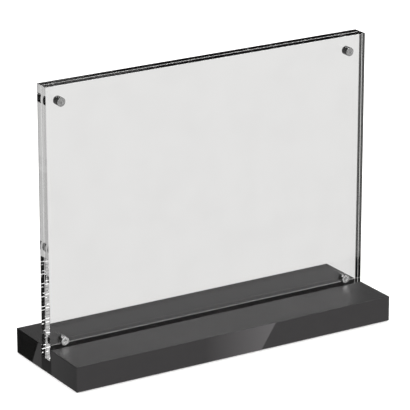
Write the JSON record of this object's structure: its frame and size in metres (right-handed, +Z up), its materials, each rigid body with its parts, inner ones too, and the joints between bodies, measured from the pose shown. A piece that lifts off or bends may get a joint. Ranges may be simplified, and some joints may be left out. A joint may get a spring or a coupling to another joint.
{
  "type": "magnetic acrylic photo stand",
  "caption": "Tabletop photo stand: two clear plates held face to face by corner magnets stand upright in the slot of a flat block base.",
  "frame": {"origin": "bottom centre: on the table, under the middle of the slot", "axes": "+X along the base and the plates, to the right seen from the front; +Y from the front plate to the back plate; +Z up"},
  "size_m": [0.21, 0.07, 0.1685],
  "materials": {
    "base_gloss": "gloss, charcoal black",
    "clear_acrylic": "clear, polished on faces and edges",
    "magnet_nickel": "bright nickel plate",
    "foot_pad": "matte non-slip"
  },
  "bodies": {
    "base": {"base_block": "base_gloss", "foot_front_left": "foot_pad", "foot_front_right": "foot_pad", "foot_back_left": "foot_pad", "foot_back_right": "foot_pad"},
    "back_panel": {"back_plate": "clear_acrylic", "back_magnet_top_left": "magnet_nickel", "back_magnet_top_right": "magnet_nickel", "back_magnet_bottom_left": "magnet_nickel", "back_magnet_bottom_right": "magnet_nickel"},
    "front_panel": {"front_plate": "clear_acrylic", "front_magnet_top_left": "magnet_nickel", "front_magnet_top_right": "magnet_nickel", "front_magnet_bottom_left": "magnet_nickel", "front_magnet_bottom_right": "magnet_nickel"}
  },
  "joints": [
    {"name": "back_panel_lift", "type": "slide", "parent": "base", "child": "back_panel", "axis": [0, 0, 1], "range_m": [0, 0.03]},
    {"name": "front_panel_lift", "type": "slide", "parent": "back_panel", "child": "front_panel", "axis": [0, 0, 1], "range_m": [0, 0.165]}
  ]
}
